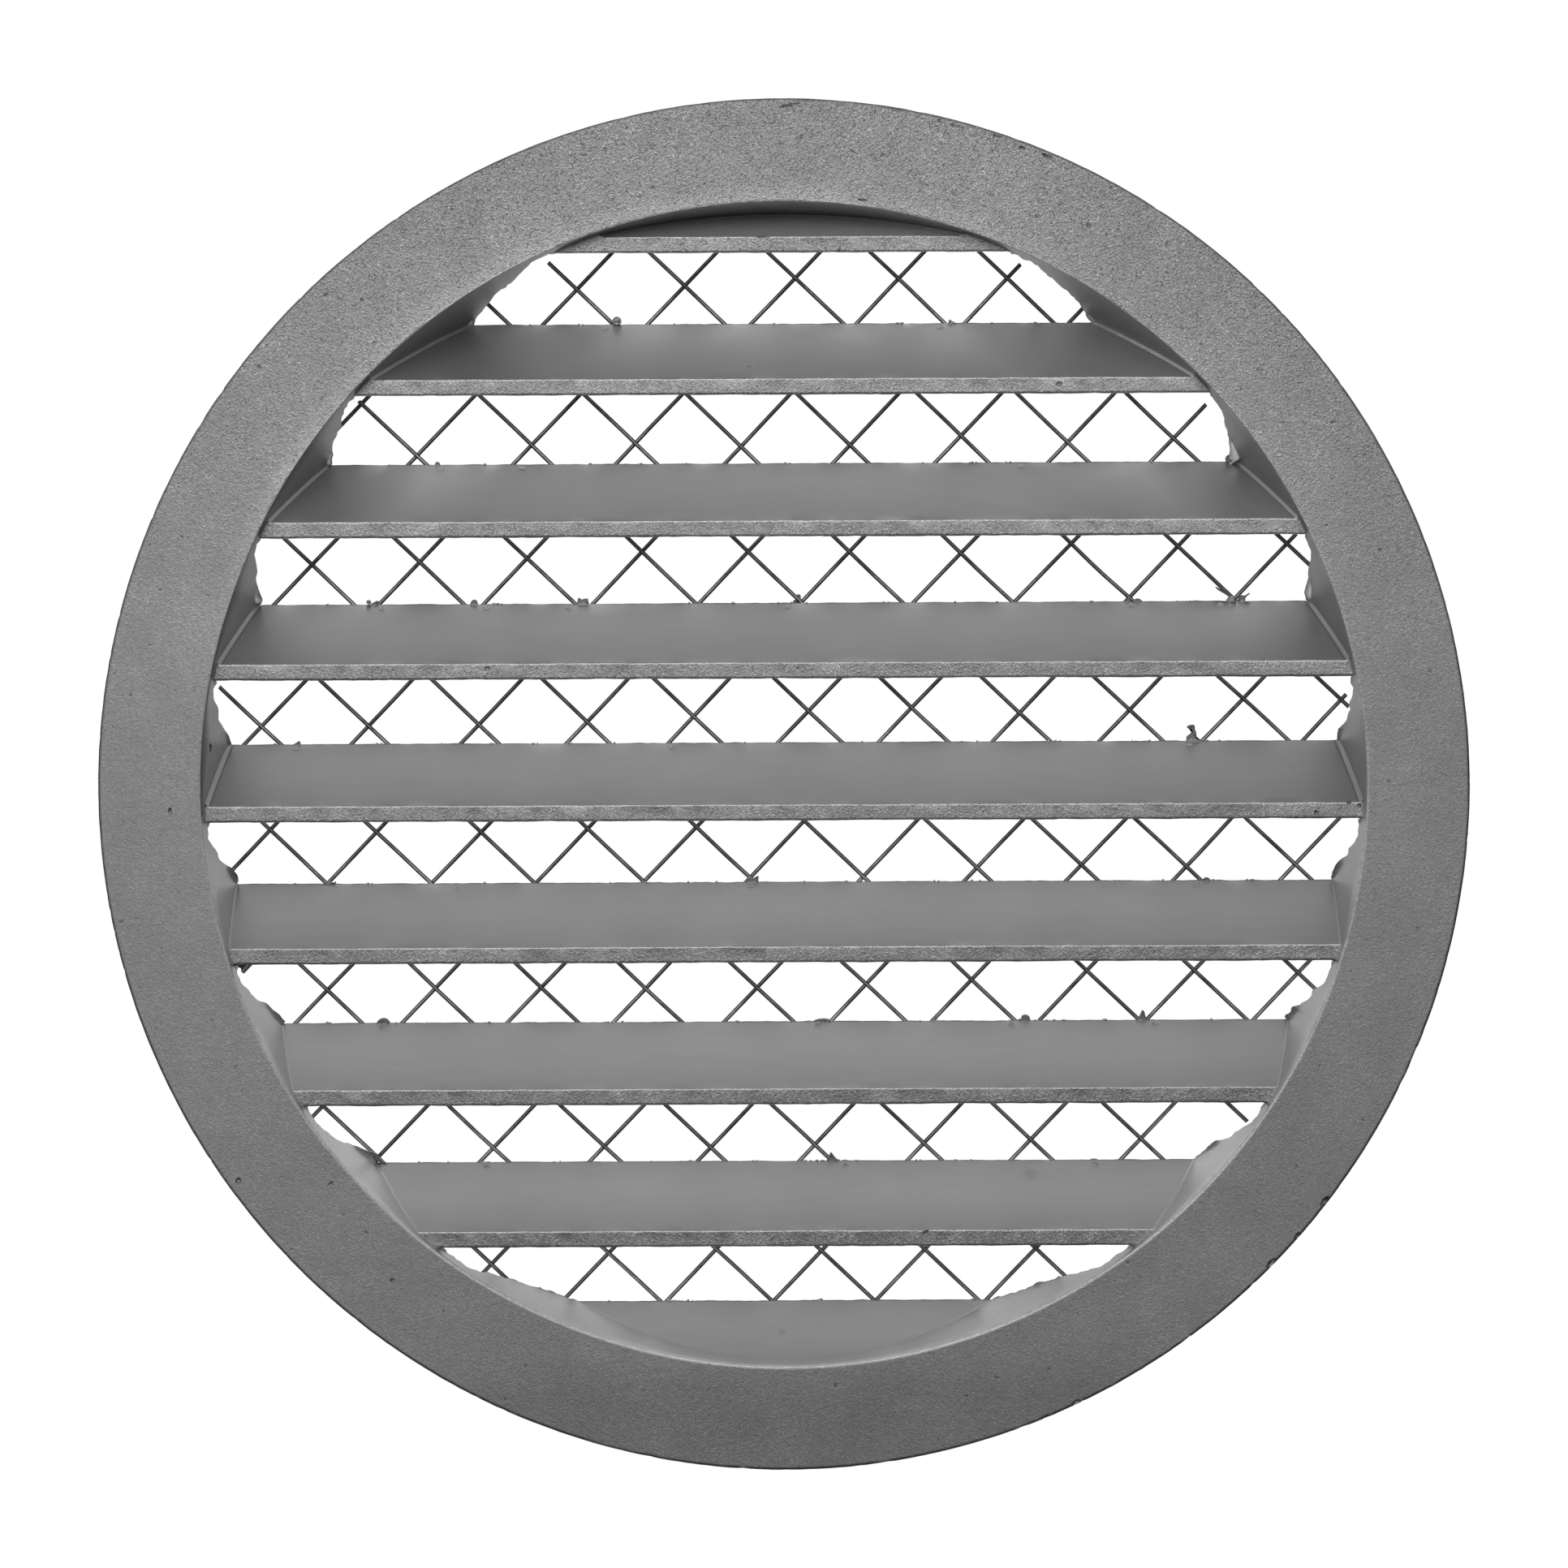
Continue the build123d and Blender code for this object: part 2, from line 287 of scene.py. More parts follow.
# -------------------------------------------------------------------- blades
def blade_section(i):
    """Points (y, z, kind, share) around one blade's section."""
    z = lip_top(i)
    pts = []
    back_top, corner = (BACK_Y, z + BLADE_RISE), (CORNER_Y, z + CORNER_DZ)
    apex = (APEX_Y, z - LIP_H)
    slope_u = (CORNER_Y - APEX_Y) / (CORNER_DZ + LIP_H)
    if i == 0:
        cut = 98.6
        back_top = (LIP_Y + (cut - z) / math.tan(SLOPE), cut)
        corner = (APEX_Y + (cut - apex[1]) * slope_u, cut)
    half = (math.radians(90) + SLOPE) / 2
    cy, cz = LIP_Y + LIP_EDGE_TOP, z - LIP_EDGE_TOP / math.tan(half)
    a0, a1 = math.radians(90) + SLOPE, math.radians(180)
    arc = [(cy + LIP_EDGE_TOP * math.cos(a0 + (a1 - a0) * k / 3),
            cz + LIP_EDGE_TOP * math.sin(a0 + (a1 - a0) * k / 3)) for k in range(4)]
    if i == BLADES - 1:
        nose = (-2.4, z + (-2.4 - LIP_Y) * math.tan(SLOPE))
        for f in (0.0, 0.02, 0.2, 0.4, 0.6, 0.8, 1.0):
            pts.append((back_top[0] + f * (nose[0] - back_top[0]),
                        back_top[1] + f * (nose[1] - back_top[1]), "top", f))
        pts.append((0.4, -98.55, "under", 0.0))
        start = (0.4, -98.55)
    else:
        for f in (0.0, 0.02, 0.2, 0.45, 0.7, 0.9, 0.985):
            pts.append((back_top[0] + f * (arc[0][0] - back_top[0]),
                        back_top[1] + f * (arc[0][1] - back_top[1]), "top", f))
        for k, p in enumerate(arc):
            pts.append((p[0], p[1], "edge", k / 3))
        lo = z - LIP_H + LIP_EDGE_LOW
        for f in (0.07, 0.93):
            pts.append((LIP_Y, arc[3][1] + f * (lo - arc[3][1]), "lip", f))
        for k in range(5):
            a = math.radians(180 + 90 * k / 4)
            pts.append((APEX_Y + LIP_EDGE_LOW * math.cos(a), lo + LIP_EDGE_LOW * math.sin(a), "low", k / 4))
        start = apex
    for k in range(1, 6):
        f = k / 5
        pts.append((start[0] + f * (corner[0] - start[0]), start[1] + f * (corner[1] - start[1]),
                    "under" if k < 5 else "corner", f))
    return pts


# band between a blade's face and the wall, and fillet under the ends of a lip
CHAMFERS = [0.55, 0.48, 0.48, 0.50, 0.56, 0.18, 0.18, 0.25, 0.06]
GUSSETS = [0.15, 0.15, 0.15, 0.20, 0.45, 0.60, 0.55, 0.30, 0.40]
NORMAL_TOP = (-math.sin(SLOPE), math.cos(SLOPE))
NORMAL_UNDER = (math.sin(SLOPE), -math.cos(SLOPE))


def build_blades():
    verts, faces = [], []
    for i in range(BLADES):
        CHAMFER, GUSSET = CHAMFERS[i], GUSSETS[i]
        near = np.array([0.0, 0.33, 0.66, 1.0]) * CHAMFER
        near = np.concatenate([near, CHAMFER + np.array([0.1, 0.5, 1.1]), [2.9]])
        pts = blade_section(i)
        y = np.array([p[0] for p in pts])
        z = np.array([p[1] for p in pts])
        n = len(pts)
        rw = wall_r(y)
        inside = rw ** 2 - z ** 2
        ends = np.sqrt(np.maximum(HELD_R ** 2 - z ** 2, 4.0))
        wall = np.where(inside > 9, np.sqrt(np.maximum(inside, 9)), 0)
        buried = (inside <= 9) | (wall > ends - 0.4)
        wall = np.where(buried, ends * 0.55, wall)
        nx = np.clip(wall / rw, 0.15, 1)
        squeeze = np.minimum(1, 0.45 * wall * nx / near[-1])
        half_mid = wall - near[-1] * squeeze / nx
        count = max(24, int(2 * half_mid.max() / 1.0))
        share = np.linspace(-1, 1, count + 1)[1:-1]
        cols, perp = [], []
        cols.append(-ends)
        perp.append(np.full(n, -1.0))
        cols.append(-(wall + 0.5 * (ends - wall)))
        perp.append(np.full(n, -0.5))
        for p in near:
            cols.append(-(wall - p * squeeze / nx))
            perp.append(np.full(n, p))
        for s in share:
            cols.append(half_mid * s)
            perp.append(np.full(n, 9.0))
        for p in near[::-1]:
            cols.append(wall - p * squeeze / nx)
            perp.append(np.full(n, p))
        cols.append(wall + 0.5 * (ends - wall))
        perp.append(np.full(n, -0.5))
        cols.append(ends)
        perp.append(np.full(n, -1.0))
        X = np.array(cols)                      # columns x section
        P = np.array(perp)
        Y = np.repeat(y[None, :], len(X), 0)
        Z = np.repeat(z[None, :], len(X), 0)
        free = np.clip((P - 0.9) / 1.2, 0, 1)   # hand-made unevenness fades out at the walls
        seed = 100 + 17 * i
        for j, (_, _, kind, f) in enumerate(pts):
            if buried[j]:
                continue
            x = X[:, j]
            if kind == "top" and i > 0:
                lift = np.clip(CHAMFER - np.maximum(P[:, j], 0), 0, CHAMFER)
                if f <= 0.02:
                    lift = lift * 0.55
                Y[:, j] += NORMAL_TOP[0] * lift
                Z[:, j] += NORMAL_TOP[1] * lift
                if f == 0:
                    # thin broken flash along the back edge
                    rag = 0.04 * wander(x, 2.7, seed) + 0.04 * wander(x, 1.0, seed + 1)
                    rag += 0.5 * np.clip(wander(x, 1.2, seed + 2) - 0.80, 0, 1)
                    Z[:, j] += free[:, j] * rag
            elif kind == "edge":
                lift = np.clip(CHAMFER - np.maximum(P[:, j], 0), 0, CHAMFER)
                lift = lift * (1 - f) ** 2
                Y[:, j] += NORMAL_TOP[0] * lift
                Z[:, j] += NORMAL_TOP[1] * lift
                Z[:, j] += free[:, j] * (0.035 * wander(x, 3.1, seed + 3) + 0.03 * wander(x, 1.0, seed + 4))
                Y[:, j] += free[:, j] * 0.03 * wander(x, 1.3, seed + 5)
            elif kind == "lip":
                Y[:, j] += free[:, j] * 0.012 * wander(x, 5.1, seed + 6)
            elif kind == "low":
                g = np.clip(GUSSET - np.maximum(P[:, j], 0), 0, GUSSET) * f
                Z[:, j] -= g * g / GUSSET
                Z[:, j] += free[:, j] * f * (0.05 * wander(x, 4.3, seed + 8) + 0.045 * wander(x, 1.2, seed + 9))
            elif kind == "under":
                g = np.clip(GUSSET - np.maximum(P[:, j], 0), 0, GUSSET)
                fade = max(0.0, 1 - 1.3 * f)
                Z[:, j] -= g * g / GUSSET * fade
                Z[:, j] += free[:, j] * fade * (0.05 * wander(x, 4.3, seed + 8) + 0.045 * wander(x, 1.2, seed + 9))
        base = len(verts)
        V = np.stack([X, Y, Z], -1)
        k = len(X)
        # painted light and shade on the blades: a dark line along the back edge, a patchy painted highlight on the
        # lip's top edge, painted shade on its rounded lower edge, a darker band with a dark line at the ends of the
        # upper blades, and painted shade under the ends of the lower lips
        for j, (_, _, kind, f) in enumerate(pts):
            if buried[j] or i == 0 and kind == "top":
                continue
            if kind == "top" and f == 0:
                mark(V[:, j], -0.75)
            elif kind == "edge" and 0.2 < f < 0.9:
                mark(V[:, j], np.where(wander(X[:, j], 1.6, 3000 + 31 * i) > -0.35, 0.95, 0.35))
            elif kind == "low" and f > 0.4:
                mark(V[:, j], -0.8)
            elif kind == "top" and i < 6:
                band = (P[:, j] > 0.1) & (P[:, j] < CHAMFER - 0.05)
                mark(V[band, j], -0.08 if i < 4 else 0.0)
                if i < 5:
                    mark(V[np.abs(P[:, j] - CHAMFER - 0.1) < 0.01, j], -0.5)
            elif kind == "under" and f < 0.5 and i >= 3:
                mark(V[P[:, j] < 1.2, j], -0.9)
        V = V.reshape(-1, 3)
        verts += V.tolist()
        idx = base + np.arange(k * n).reshape(k, n)
        a0, a1 = idx[:-1], idx[1:]
        b0, b1 = np.roll(idx, -1, 1)[:-1], np.roll(idx, -1, 1)[1:]
        faces += np.stack([a0, a1, b1, b0], -1).reshape(-1, 4).tolist()
        faces.append(idx[0].tolist())
        faces.append(idx[-1][::-1].tolist())
    return mesh_object("blades", verts, faces)


ring = build_ring()
blades = build_blades()


def apply_boolean(target, tool, operation):
    m = target.modifiers.new("cut", "BOOLEAN")
    m.operation = operation
    m.object = tool
    m.solver = "MANIFOLD"
    dg = bpy.context.evaluated_depsgraph_get()
    me = bpy.data.meshes.new_from_object(target.evaluated_get(dg))
    target.modifiers.clear()
    old = target.data
    target.data = me
    bpy.data.meshes.remove(old)
    bpy.data.objects.remove(tool)


print("ring", len(ring.data.polygons), "blades", len(blades.data.polygons))
apply_boolean(ring, blades, "UNION")
# ------------------------------------------------- burrs, stakes, nicks, pits
# Peened metal on the back edges that holds the screen, seen from the front:
# outlines in X and Z.  edge: flash standing on the back edge, in front of the
# wires; rear: peened over a crossing, behind it; ball: a rounded end; ring: a
# curled end; stem, smear, wire: thin folded flash.
LUMPS = [
    ("ball", [(-27.03, 77.98), (-27.21, 77.51), (-27.65, 77.26), (-28.14, 77.35), (-28.46, 77.73),
              (-28.46, 78.24), (-28.14, 78.62), (-27.64, 78.71), (-27.20, 78.45)]),
    ("edge", [(27.44, 76.82), (27.58, 77.23), (27.93, 77.42), (28.04, 77.86), (28.32, 77.97), (28.53, 77.75),
              (29.08, 77.50), (29.51, 77.25), (29.46, 76.76)]),
    ("edge", [(-58.58, 53.44), (-58.47, 53.98), (-58.30, 54.34), (-58.03, 54.45), (-57.76, 54.31),
              (-57.59, 53.93), (-57.54, 53.43)]),
    ("ring", [(75.81, 54.38), (75.65, 53.94), (75.25, 53.71), (74.79, 53.79), (74.49, 54.15), (74.49, 54.62),
              (74.79, 54.97), (75.25, 55.05), (75.66, 54.82)]),
    ("ball", [(-69.34, 30.89), (-69.43, 30.64), (-69.66, 30.51), (-69.92, 30.56), (-70.09, 30.76),
              (-70.08, 31.02), (-69.92, 31.22), (-69.66, 31.26), (-69.43, 31.13)]),
    ("stem", [(-69.78, 30.64), (-69.64, 30.64), (-69.46, 29.38), (-69.62, 29.33)]),
    ("edge", [(-69.51, 29.99), (-69.37, 30.48), (-68.74, 30.91), (-68.28, 31.10), (-68.09, 31.02),
              (-68.23, 30.42), (-68.26, 29.93)]),
    ("edge", [(-52.65, 29.81), (-52.53, 30.79), (-52.26, 31.11), (-51.98, 31.22), (-51.60, 31.14),
              (-51.44, 30.73), (-51.36, 29.85)]),
    ("edge", [(-34.55, 29.87), (-34.49, 31.34), (-34.11, 31.34), (-33.94, 31.17), (-33.40, 31.31),
              (-32.91, 31.33), (-32.80, 30.90), (-32.72, 29.86)]),
    ("rear", [(1.10, 29.10), (1.67, 30.86), (2.05, 31.13), (2.22, 31.57), (2.28, 31.90), (2.55, 32.03),
              (2.88, 31.89), (2.98, 31.35), (2.70, 29.10)]),
    ("edge", [(3.63, 29.71), (3.69, 30.36), (3.96, 30.58), (4.18, 30.30), (4.29, 29.70)]),
    ("edge", [(57.26, 29.97), (57.35, 30.57), (57.70, 30.90), (58.09, 31.06), (58.36, 30.73), (58.52, 30.02)]),
    ("edge", [(58.57, 30.02), (58.68, 30.62), (59.07, 30.84), (59.59, 30.97), (60.00, 30.83), (60.32, 30.56),
              (60.32, 30.01)]),
    ("ball", [(76.18, 30.44), (75.98, 29.91), (75.50, 29.64), (74.95, 29.74), (74.59, 30.17), (74.59, 30.73),
              (74.95, 31.15), (75.50, 31.25), (75.99, 30.97)]),
    ("stem", [(72.69, 32.83), (73.05, 32.75), (73.54, 32.47), (74.52, 31.87), (75.12, 31.37), (74.95, 31.21),
              (74.30, 31.65), (73.27, 32.25)]),
    ("edge", [(76.42, 29.95), (76.53, 30.77), (76.70, 31.31), (77.14, 31.47), (77.52, 31.36), (78.34, 31.80),
              (78.45, 31.63), (77.74, 30.98), (77.62, 29.94)]),
    ("edge", [(-82.85, 6.38), (-82.63, 6.87), (-81.97, 7.30), (-81.48, 7.57), (-81.32, 7.19), (-81.29, 6.37)]),
    ("edge", [(67.67, 6.24), (67.73, 7.19), (67.79, 7.74), (68.22, 8.07), (68.58, 8.50), (68.39, 8.88),
              (68.01, 9.05), (67.85, 9.38), (68.23, 9.65), (68.83, 9.70), (69.10, 9.48), (69.13, 8.94),
              (69.37, 8.33), (69.45, 7.41), (69.99, 7.18), (70.46, 6.96), (70.45, 6.23)]),
    ("edge", [(-78.53, -17.38), (-78.36, -16.84), (-77.48, -16.41), (-76.80, -16.08), (-76.17, -16.19),
              (-75.74, -16.30), (-75.54, -16.06), (-75.41, -16.36), (-75.28, -16.91), (-75.30, -17.40)]),
    ("edge", [(-6.58, -17.00), (-6.47, -16.29), (-5.97, -15.64), (-5.21, -15.75), (-4.72, -15.54),
              (-4.34, -15.43), (-4.39, -16.08), (-4.45, -17.01)]),
    ("edge", [(70.22, -17.00), (70.33, -16.40), (70.66, -16.07), (71.04, -15.96), (71.43, -16.13),
              (71.67, -16.51), (71.72, -17.00)]),
    ("edge", [(-68.80, -40.68), (-68.66, -39.86), (-68.25, -39.32), (-67.59, -39.05), (-66.94, -39.21),
              (-66.53, -39.65), (-66.39, -40.20), (-66.40, -40.69)]),
    ("edge", [(-65.80, -40.69), (-65.71, -39.98), (-65.41, -39.82), (-65.14, -39.98), (-65.14, -40.69)]),
    ("edge", [(4.78, -40.39), (4.90, -39.79), (5.66, -39.52), (6.62, -39.44), (7.41, -39.58), (7.73, -39.85),
              (7.73, -40.40)]),
    ("edge", [(39.17, -40.45), (39.34, -39.71), (39.72, -39.60), (39.83, -39.17), (40.22, -38.95),
              (40.76, -39.01), (41.14, -39.39), (41.14, -40.46)]),
    ("edge", [(58.82, -40.53), (58.93, -39.90), (59.59, -39.31), (59.98, -38.49), (60.20, -38.27),
              (60.47, -38.60), (60.68, -39.42), (61.23, -39.91), (61.22, -40.54)]),
    ("edge", [(6.90, -63.78), (6.95, -63.21), (7.28, -62.61), (7.61, -61.96), (7.94, -62.29), (8.37, -62.84),
              (8.76, -63.22), (8.75, -63.79)]),
    ("smear", [(-70.44, -61.55), (-69.89, -61.42), (-69.32, -61.55), (-68.78, -61.86), (-68.34, -62.38),
              (-68.07, -62.81), (-67.47, -63.20), (-66.87, -63.64), (-67.26, -63.58), (-68.35, -63.25),
              (-69.16, -62.48), (-69.81, -61.93)]),
    ("wire", [(-92.69, -29.99), (-91.60, -29.88), (-90.23, -29.94), (-90.40, -30.27), (-90.78, -30.54),
              (-91.16, -31.14), (-91.38, -31.14), (-91.38, -30.65), (-91.98, -30.37)]),
]
# stakes behind the screen: blade counted from the top, distance along X
STAKES = [(1, -29.6), (1, 26.5), (2, -57.4), (2, -43.8), (2, 40.1), (3, -67.5),
          (3, -49.9), (3, -36.0), (3, 0.65), (3, 58.5), (3, 73.4), (4, -82.0),
          (4, 68.1), (4, -18.7), (5, -5.6), (5, 69.3), (5, -55.0), (6, -67.7),
          (6, 5.5), (6, 38.0), (6, 62.1), (7, 10.0), (7, -50.2), (7, 52.0)]


def smoothed(points, per=4):
    """A closed outline rounded through its points."""
    p = np.asarray(points, float)
    a, b, c, d = np.roll(p, 1, 0), p, np.roll(p, -1, 0), np.roll(p, -2, 0)
    rows = []
    for k in range(per):
        t = k / per
        rows.append(0.5 * (2 * b + (c - a) * t + (2 * a - 5 * b + 4 * c - d) * t * t
                           + (3 * b - a - 3 * c + d) * t ** 3))
    return np.stack(rows, 1).reshape(-1, 2)


def lump(points, profile, shade=0.0, per=4):
    """Outline carried along Y; profile gives (y, inset) from front to back; shade is painted shade marked on all its
    points.
    """
    o = smoothed(points, per)
    area = 0.5 * np.sum(o[:, 0] * np.roll(o[:, 1], -1) - np.roll(o[:, 0], -1) * o[:, 1])
    if area < 0:
        o = o[::-1]
    t = np.roll(o, -1, 0) - np.roll(o, 1, 0)
    t /= np.maximum(np.linalg.norm(t, axis=1), 1e-6)[:, None]
    inward = np.stack([-t[:, 1], t[:, 0]], 1)
    mid = o.mean(0)
    n = len(o)
    verts, faces = [], []
    for y, inset in profile:
        q = o + inward * inset
        for k in range(n):
            verts.append((q[k, 0], y, q[k, 1]))
    for r in range(len(profile) - 1):
        for k in range(n):
            k2 = (k + 1) % n
            faces.append((r * n + k, r * n + k2, (r + 1) * n + k2, (r + 1) * n + k))
    first, last = len(verts), len(verts) + 1
    verts.append((mid[0], profile[0][0], mid[1]))
    verts.append((mid[0], profile[-1][0], mid[1]))
    top = (len(profile) - 1) * n
    for k in range(n):
        k2 = (k + 1) % n
        faces.append((k2, k, first))
        faces.append((top + k, top + k2, last))
    mark(verts, shade)
    return mesh_object("lump", verts, faces)


def pebble(place, size, seed, turn=0.0, rough=0.12, detail=2):
    """A small uneven ellipsoid."""
    bm = bmesh.new()
    bmesh.ops.create_icosphere(bm, subdivisions=detail, radius=1.0)
    r = random.Random(seed)
    c, s = math.cos(math.radians(turn)), math.sin(math.radians(turn))
    for v in bm.verts:
        f = 1 + r.uniform(-rough, rough)
        x, y, z = v.co.x * size[0] * f, v.co.y * size[1] * f, v.co.z * size[2] * f
        v.co = ((place[0] + x * c - z * s) * MM, (place[1] + y) * MM, (place[2] + x * s + z * c) * MM)
    me = bpy.data.meshes.new("pebble")
    bm.to_mesh(me)
    bm.free()
    ob = bpy.data.objects.new("pebble", me)
    scene.collection.objects.link(ob)
    return ob


# painted shade: the burrs and folded flash are painted darker by these amounts (the others by 0.6)
SHADES = {"ball": -0.25, "ring": -0.7, "stem": -0.9, "smear": -0.8, "wire": -0.9}
PROFILES = {
    "edge": [(10.72, 0.16), (10.80, 0.07), (10.95, 0.0), (11.75, 0.0), (11.95, 0.06), (12.06, 0.16)],
    "rear": [(13.60, 0.16), (13.66, 0.05), (13.74, 0.0), (13.95, 0.0), (14.10, 0.06), (14.22, 0.18)],
    "ball": [(10.15, 0.50), (10.20, 0.36), (10.34, 0.18), (10.60, 0.04), (10.95, 0.0), (11.80, 0.0), (12.05, 0.1)],
    "ring": [(9.70, 0.34), (9.66, 0.18), (9.78, 0.05), (10.05, 0.0), (11.60, 0.0), (11.80, 0.1)],
    "stem": [(10.90, 0.04), (11.00, 0.0), (11.60, 0.0), (11.70, 0.04)],
    "smear": [(10.60, 0.08), (10.70, 0.02), (10.90, 0.0), (11.60, 0.0), (11.75, 0.06)],
    "wire": [(10.30, 0.10), (10.42, 0.03), (10.60, 0.0), (11.20, 0.0), (11.40, 0.08)],
}
small = [lump(outline, PROFILES[kind], SHADES.get(kind, -0.6)) for kind, outline in LUMPS]
for k, (i, x) in enumerate(STAKES):
    z0 = lip_top(i) + BLADE_RISE - 0.75
    rnd = random.Random(900 + k)
    ang = [2 * math.pi * q / 12 for q in range(12)]
    shank = [(x + 0.60 * math.cos(a), z0 - 0.10 + 0.60 * math.sin(a)) for a in ang]
    small.append(lump(shank, [(BACK_Y - 1.0, 0.0), (12.0, 0.0), (13.9, 0.0)], per=1))
    head = [(x + (1.18 + rnd.uniform(-0.14, 0.12)) * math.cos(a),
             z0 - 0.45 + (1.12 + rnd.uniform(-0.12, 0.08)) * math.sin(a)) for a in ang]
    small.append(lump(head, [(13.58, 0.12), (13.66, 0.0), (13.95, 0.0), (14.14, 0.14), (14.24, 0.36)], per=2))
# crumbs of flash left on the back edges
rnd = random.Random(77)
for i in range(1, BLADES):
    reach = math.sqrt(wall_r(BACK_Y) ** 2 - (lip_top(i) + BLADE_RISE) ** 2) - 3
    x = -reach + rnd.uniform(0, 9)
    while x < reach:
        r = rnd.uniform(0.13, 0.27)
        small.append(pebble((x, 11.05, lip_top(i) + BLADE_RISE - 0.02), (r * rnd.uniform(0.8, 2.0), 0.3, r), rnd.random(),
                            rnd.uniform(-25, 25), 0.25, 1))
        x += rnd.choice((0.5, 0.9, 2.0, 6.0, 11.0, 17.0)) * rnd.uniform(0.7, 1.4)
for ob in small[1:]:
    apply_boolean(small[0], ob, "UNION")
apply_boolean(ring, small[0], "UNION")

# nicks and pits: (place in X, Y, Z), (size), turn
NICKS = [
    ((1.3, -3.52, 111.75), (1.80, 0.34, 0.27), 12), ((3.0, -3.50, 106.6), (0.9, 0.24, 0.20), 30),
    ((28.7, -3.50, 108.3), (0.90, 0.36, 0.34), -15), ((12.0, -3.50, 104.0), (0.8, 0.20, 0.18), -35),
    ((50.5, -3.50, 91.8), (0.45, 0.34, 0.45), 0), ((-101.1, -3.50, -4.0), (0.35, 0.24, 0.55), 0),
    ((-90.1, -3.50, -64.9), (0.52, 0.50, 0.46), 10), ((-74.9, -3.50, -65.5), (0.55, 0.24, 0.30), 40),
    ((-64.8, -3.50, -81.4), (0.50, 0.24, 0.35), 0), ((35.6, -3.45, 106.5), (0.80, 0.34, 0.30), -18),
    ((39.7, -3.45, 104.6), (0.60, 0.30, 0.28), -20), ((43.8, -3.45, 103.2), (1.00, 0.38, 0.32), -23),
    ((13.4, -3.45, 96.1), (0.90, 0.30, 0.26), -8), ((23.1, -1.50, -74.05), (0.60, 0.28, 0.30), 30),
    ((88.8, -3.4, -69.1), (1.15, 0.75, 0.55), -128), ((84.2, -3.4, -74.8), (0.85, 0.65, 0.50), -132),
    ((80.0, -3.4, -79.2), (1.15, 0.60, 0.55), -135), ((47.7, -3.4, -102.1), (0.95, 0.65, 0.50), -155),
    ((42.6, -3.3, -104.4), (1.10, 0.60, 0.40), -158), ((39.0, -3.3, -106.1), (0.80, 0.65, 0.50), -160),
    ((101.5, -3.3, -49.8), (0.9, 0.45, 0.40), -116), ((66.0, -3.3, -91.6), (0.8, 0.45, 0.40), -144),
    ((45.7, -1.45, 65.9), (0.55, 0.30, 0.38), 0), ((-48.9, -1.45, 19.3), (0.50, 0.26, 0.35), 0),
    ((95.0, -1.40, -3.9), (0.35, 0.30, 0.40), 0), ((87.9, -1.45, -5.0), (0.45, 0.28, 0.35), 0),
    ((93.3, -1.40, -3.5), (0.40, 0.30, 0.30), 0), ((-3.0, -1.50, 90.35), (1.30, 0.30, 0.20), 0),
    ((-95.15, 1.0, 6.4), (0.50, 0.7, 0.85), 0), ((-5.3, 1.35, 69.35), (0.62, 0.18, 0.14), 15),
]
small = [pebble(place, size, 40 + k, turn) for k, (place, size, turn) in enumerate(NICKS)]
# painted shade: the nicks and pits are painted dark
for ob in small:
    mark(np.array([v.co[:] for v in ob.data.vertices]) / MM, -0.55)
for ob in small[1:]:
    apply_boolean(small[0], ob, "UNION")
apply_boolean(ring, small[0], "DIFFERENCE")
casting = ring
casting.name = "louvre_casting_body"
casting.data.name = "louvre_casting_body"
# the marked painted highlights and painted shade go onto the casting's vertices
tree = KDTree(sum(len(points) for points, _ in MARKS))
values = np.concatenate([value for _, value in MARKS])
for k, q in enumerate(np.concatenate([points for points, _ in MARKS])):
    tree.insert(q * MM, k)
tree.balance()
painted_light_shade = casting.data.attributes.new("painted_light_shade", "FLOAT", "POINT")
for k, v in enumerate(casting.data.vertices):
    _, near_k, far = tree.find(v.co)
    painted_light_shade.data[k].value = values[near_k] if far < 2e-7 else 0.0
for p in casting.data.polygons:
    p.use_smooth = True
casting.data.set_sharp_from_angle(angle=math.radians(25))
print("casting faces", len(casting.data.polygons), "tris", sum(len(p.vertices) - 2 for p in casting.data.polygons))


# --------------------------------------------------------------------- wires
# how far each wire is bent off its straight line: (place along the wire, offset), mm
BEND_RISING = {
    -83.05: [(-30, -0.01), (4, 0.05), (36, 0.16)],
    -70.3: [(-50, -0.05), (-18, 0.03), (16, 0.02), (48, 0.12)],
    -57.65: [(-71, 0.46), (-38, 0.27), (-5, 0.04), (28, -0.25), (61, 0.02)],
    -44.45: [(-59, 0.45), (-25, 0.35), (7, 0.08), (41, -0.20), (73, -0.52)],
    -31.5: [(-80, -0.11), (-47, 0.21), (-13, 0.30), (19, 0.04), (53, 0.01), (85, -0.30)],
    -18.95: [(-67, 0.30), (-34, 0.26), (-1, 0.05), (32, -0.20), (65, -0.12)],
    -5.61: [(-87, -0.33), (-54, -0.22), (-21, -0.05), (12, 0.09), (45, 0.23), (78, 0.30)],
    6.86: [(-75, 0.17), (-42, 0.15), (-9, -0.11), (24, -0.22), (56, 0.03), (90, 0.27)],
    20.34: [(-61, 0.01), (-29, 0.13), (4, 0.11), (37, 0.08), (70, -0.09)],
    33.3: [(-83, 0.03), (-49, 0.17), (-16, 0.05), (17, -0.06), (49, 0.17), (82, -0.07)],
    45.79: [(-70, 0.22), (-37, -0.02), (-5, -0.11), (29, -0.15), (62, 0.20)],
    58.75: [(-58, 0.27), (-24, 0.16), (8, -0.12), (41, -0.11), (71, -0.71)],
    71.54: [(-45, -0.14), (-12, -0.04), (20, 0.14), (54, 0.09)],
    84.73: [(-32, 0.06), (0, 0.08), (33, -0.08)],
}
